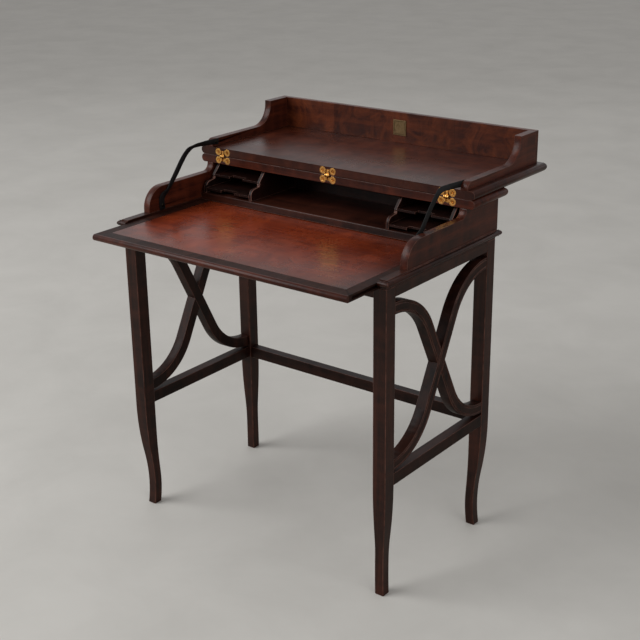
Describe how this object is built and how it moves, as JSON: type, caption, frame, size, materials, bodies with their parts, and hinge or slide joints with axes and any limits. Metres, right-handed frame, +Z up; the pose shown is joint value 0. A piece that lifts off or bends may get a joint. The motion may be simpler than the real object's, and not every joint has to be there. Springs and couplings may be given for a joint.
{
  "type": "campaign desk",
  "caption": "Fold-over campaign writing desk: lid with tall gallery folds back on a shallow case, letter racks inside, sliding writing board, light stand with crossed side bars.",
  "frame": {"origin": "on the floor, under the middle of the desk's outline as it stands open", "axes": "+X to the right as seen from the front, +Y from the front to the back, +Z up"},
  "size_m": [0.788, 0.7368, 0.9418],
  "materials": {
    "dark_mahogany": "french polished, satin",
    "case_mahogany": "french polished, satin",
    "moulding_mahogany": "french polished, worn on the edges",
    "field_mahogany": "french polished, glossy",
    "banding": "french polished, satin",
    "secondary_wood": "bare",
    "bright_brass": "polished, lightly tarnished",
    "dull_brass": "dull, aged",
    "black_strap": "matt, creased"
  },
  "bodies": {
    "stand": {"leg_front_left": "dark_mahogany", "leg_front_right": "dark_mahogany", "leg_back_left": "dark_mahogany", "leg_back_right": "dark_mahogany", "side_rail_left": "dark_mahogany", "side_rail_right": "dark_mahogany", "front_rail": "dark_mahogany", "back_rail": "dark_mahogany", "side_stretcher_left": "dark_mahogany", "side_stretcher_right": "dark_mahogany", "back_stretcher": "dark_mahogany", "cross_bar_left_outer": "dark_mahogany", "cross_bar_left_inner": "dark_mahogany", "cross_bar_right_outer": "dark_mahogany", "cross_bar_right_inner": "dark_mahogany", "ledge_left": "moulding_mahogany", "ledge_right": "moulding_mahogany", "ledge_back": "moulding_mahogany", "runner_left": "secondary_wood", "runner_right": "secondary_wood", "case_side_left": "case_mahogany", "case_side_right": "case_mahogany", "case_back": "case_mahogany", "raised_floor": "case_mahogany", "fixed_top": "moulding_mahogany", "rack_left_outer_side": "case_mahogany", "rack_left_inner_side": "case_mahogany", "rack_left_upper_shelf": "case_mahogany", "rack_left_lower_shelf": "case_mahogany", "rack_right_outer_side": "case_mahogany", "rack_right_inner_side": "case_mahogany", "rack_right_upper_shelf": "case_mahogany", "rack_right_lower_shelf": "case_mahogany", "hinge_plates_top": "bright_brass", "hinge_pins": "bright_brass", "hinge_screws_top": "bright_brass", "strap_left": "black_strap", "strap_right": "black_strap", "strap_screws_case": "bright_brass"},
    "writing_slide": {"slide_core": "secondary_wood", "slide_field": "field_mahogany", "slide_border_front": "banding", "slide_border_back": "banding", "slide_border_left": "banding", "slide_border_right": "banding", "slide_nosing": "moulding_mahogany"},
    "lid": {"lid_leaf": "moulding_mahogany", "lid_front_board": "case_mahogany", "lid_side_left": "case_mahogany", "lid_side_right": "case_mahogany", "plaque": "dull_brass", "plaque_pins": "dull_brass", "hinge_plates_lid": "bright_brass", "hinge_screws_lid": "bright_brass", "strap_screws_lid": "bright_brass"}
  },
  "joints": [
    {"name": "slide_travel", "type": "slide", "parent": "stand", "child": "writing_slide", "axis": [0, 1, 0], "range_m": [0, 0.1]},
    {"name": "lid_fold", "type": "hinge", "parent": "stand", "child": "lid", "pos_m": [0, 0.04375, 0.8452], "axis": [1, 0, 0], "range_deg": [0, 180], "deforming": ["strap_left", "strap_right"]}
  ]
}
